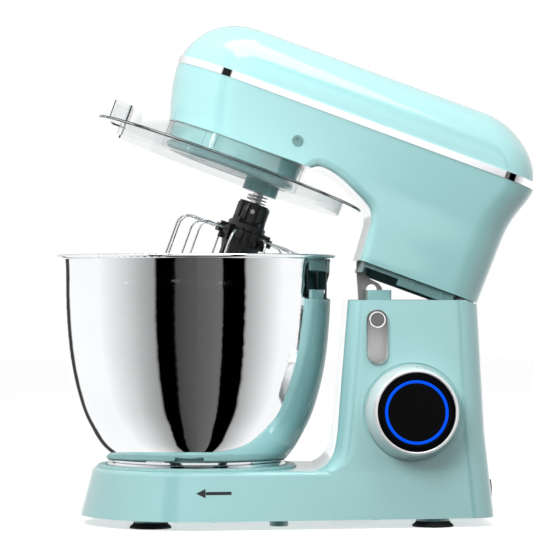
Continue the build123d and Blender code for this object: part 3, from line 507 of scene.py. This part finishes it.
world = bpy.data.worlds.new("studio")
scene.world = world
world.use_nodes = True
wt = world.node_tree
wt.nodes.clear()
w_out = wt.nodes.new("ShaderNodeOutputWorld")
w_tc = wt.nodes.new("ShaderNodeTexCoord")
w_sep = wt.nodes.new("ShaderNodeSeparateXYZ")
wt.links.new(w_tc.outputs["Generated"], w_sep.inputs["Vector"])
w_az = wt.nodes.new("ShaderNodeMath")
w_az.operation = "ARCTAN2"
wt.links.new(w_sep.outputs["Y"], w_az.inputs[0])
wt.links.new(w_sep.outputs["X"], w_az.inputs[1])
w_map = wt.nodes.new("ShaderNodeMapRange")
w_map.inputs["From Min"].default_value = -math.pi
w_map.inputs["From Max"].default_value = math.pi
wt.links.new(w_az.outputs["Value"], w_map.inputs["Value"])
w_ramp = wt.nodes.new("ShaderNodeValToRGB")
w_ramp.color_ramp.interpolation = "LINEAR"
deg = lambda d: (d + 180.0) / 360.0


def azimuth_ramp(stops, node):
    els = node.color_ramp.elements
    els[0].position, els[0].color = deg(stops[0][0]), (stops[0][1],) * 3 + (1,)
    els[1].position, els[1].color = deg(stops[-1][0]), (stops[-1][1],) * 3 + (1,)
    for d, v in stops[1:-1]:
        e = els.new(deg(d))
        e.color = (v, v, v, 1)
    wt.links.new(w_map.outputs["Result"], node.inputs["Fac"])


# low walls of the studio: two dark flats with a grey gap between them, pale walls on both sides
azimuth_ramp([(-180, 1.0), (-149, 1.0), (-147, 0.05), (-139, 0.05), (-137, 1.0), (-92, 1.0), (-80, 0.86), (-62, 0.66), (-48, 0.46), (-36, 0.33), (-34, 0.0), (-18.5, 0.0),
              (-17, 0.06), (0, 0.10), (21, 0.15), (22, 0.0), (41, 0.0), (43, 0.40), (61, 0.70), (78, 1.0), (180, 1.0)], w_ramp)
w_high = wt.nodes.new("ShaderNodeValToRGB")
azimuth_ramp([(-180, 0.6), (-120, 1.0), (-40, 1.05), (-37, 1.0), (-35, 0.02), (-21, 0.02), (-19, 1.0), (0, 1.0), (28, 1.0), (30, 0.02), (40, 0.02),
              (42, 1.0), (120, 1.0), (180, 0.6)], w_high)
w_el = wt.nodes.new("ShaderNodeMapRange")
w_el.interpolation_type = "SMOOTHSTEP"
w_el.inputs["From Min"].default_value = 0.012
w_el.inputs["From Max"].default_value = 0.030
wt.links.new(w_sep.outputs["Z"], w_el.inputs["Value"])
w_lr = wt.nodes.new("ShaderNodeMix")
w_lr.data_type = "RGBA"
wt.links.new(w_el.outputs["Result"], w_lr.inputs["Factor"])
wt.links.new(w_ramp.outputs["Color"], w_lr.inputs["A"])
wt.links.new(w_high.outputs["Color"], w_lr.inputs["B"])
w_studio = wt.nodes.new("ShaderNodeBackground")
wt.links.new(w_lr.outputs["Result"], w_studio.inputs["Color"])
w_lp = wt.nodes.new("ShaderNodeLightPath")
w_str = wt.nodes.new("ShaderNodeMapRange")
w_str.inputs["To Min"].default_value = 1.15
w_str.inputs["To Max"].default_value = 0.30
wt.links.new(w_lp.outputs["Is Diffuse Ray"], w_str.inputs["Value"])
wt.links.new(w_str.outputs["Result"], w_studio.inputs["Strength"])
w_plain = wt.nodes.new("ShaderNodeBackground")
w_plain.inputs["Color"].default_value = (1, 1, 1, 1)
w_plain.inputs["Strength"].default_value = 1.0
w_mix = wt.nodes.new("ShaderNodeMixShader")
w_see = wt.nodes.new("ShaderNodeMath")
w_see.operation = "MAXIMUM"
wt.links.new(w_lp.outputs["Is Camera Ray"], w_see.inputs[0])
wt.links.new(w_lp.outputs["Is Transmission Ray"], w_see.inputs[1])
wt.links.new(w_see.outputs["Value"], w_mix.inputs["Fac"])
wt.links.new(w_studio.outputs["Background"], w_mix.inputs[1])
wt.links.new(w_plain.outputs["Background"], w_mix.inputs[2])
wt.links.new(w_mix.outputs["Shader"], w_out.inputs["Surface"])


def area(name, loc, aim, size, power, size_y=None):
    ld = bpy.data.lights.new(name, "AREA")
    ld.energy = power
    ld.shape = "RECTANGLE"
    ld.size, ld.size_y = size, size_y or size
    o = bpy.data.objects.new(name, ld)
    scene.collection.objects.link(o)
    o.location = loc
    o.rotation_mode = "QUATERNION"
    o.rotation_quaternion = (Vector(aim) - Vector(loc)).to_track_quat("-Z", "Y")
    return o


key = area("key_front", (0.75, -0.38, 0.78), (0, -0.02, 0.33), 0.5, 8, 0.5)
key.visible_glossy = False
area("top", (0.25, 0.1, 1.6), (0, 0, 0.3), 0.9, 10)
rear = area("rear_side", (0.9, 1.1, 0.9), (0, 0.05, 0.3), 0.6, 3, 0.8)
rear.visible_glossy = False
